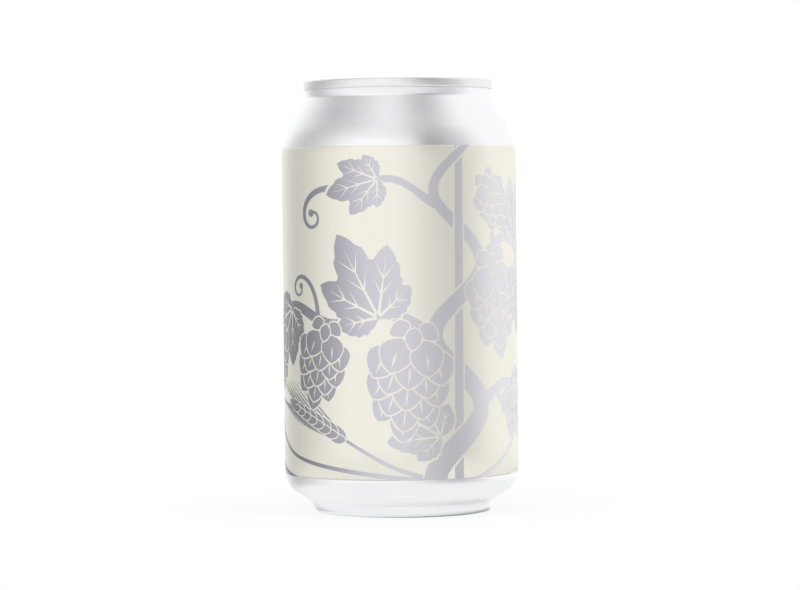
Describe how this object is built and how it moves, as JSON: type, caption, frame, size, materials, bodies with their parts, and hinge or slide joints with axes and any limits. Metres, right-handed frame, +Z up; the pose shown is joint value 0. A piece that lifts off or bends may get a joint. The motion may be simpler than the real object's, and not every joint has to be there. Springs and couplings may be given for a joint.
{
  "type": "beer can",
  "caption": "Shut aluminium drinks can with a sloping neck, a seamed end with a lift tab, a domed base and a wrap-round cream label with silvery hop vines.",
  "frame": {"origin": "on the can's axis, level with the ring that it stands on", "axes": "+Z up along the can's axis, -Y the front and the mouth's side, +Y towards the tab's finger loop and the label's overlap"},
  "size_m": [0.0664, 0.0665, 0.1222],
  "materials": {
    "drawn_aluminium": "satin, drawn and necked, with fine rings round the neck",
    "end_aluminium": "lacquered sheet with a straight rolling grain",
    "tab_aluminium": "bright rolled strip",
    "label_film": "satin cream film",
    "label_foil": "satin lavender-grey foil print"
  },
  "bodies": {
    "root": {"can_body": "drawn_aluminium", "can_end": "end_aluminium", "tab": "tab_aluminium", "label": "label_film"}
  },
  "joints": []
}
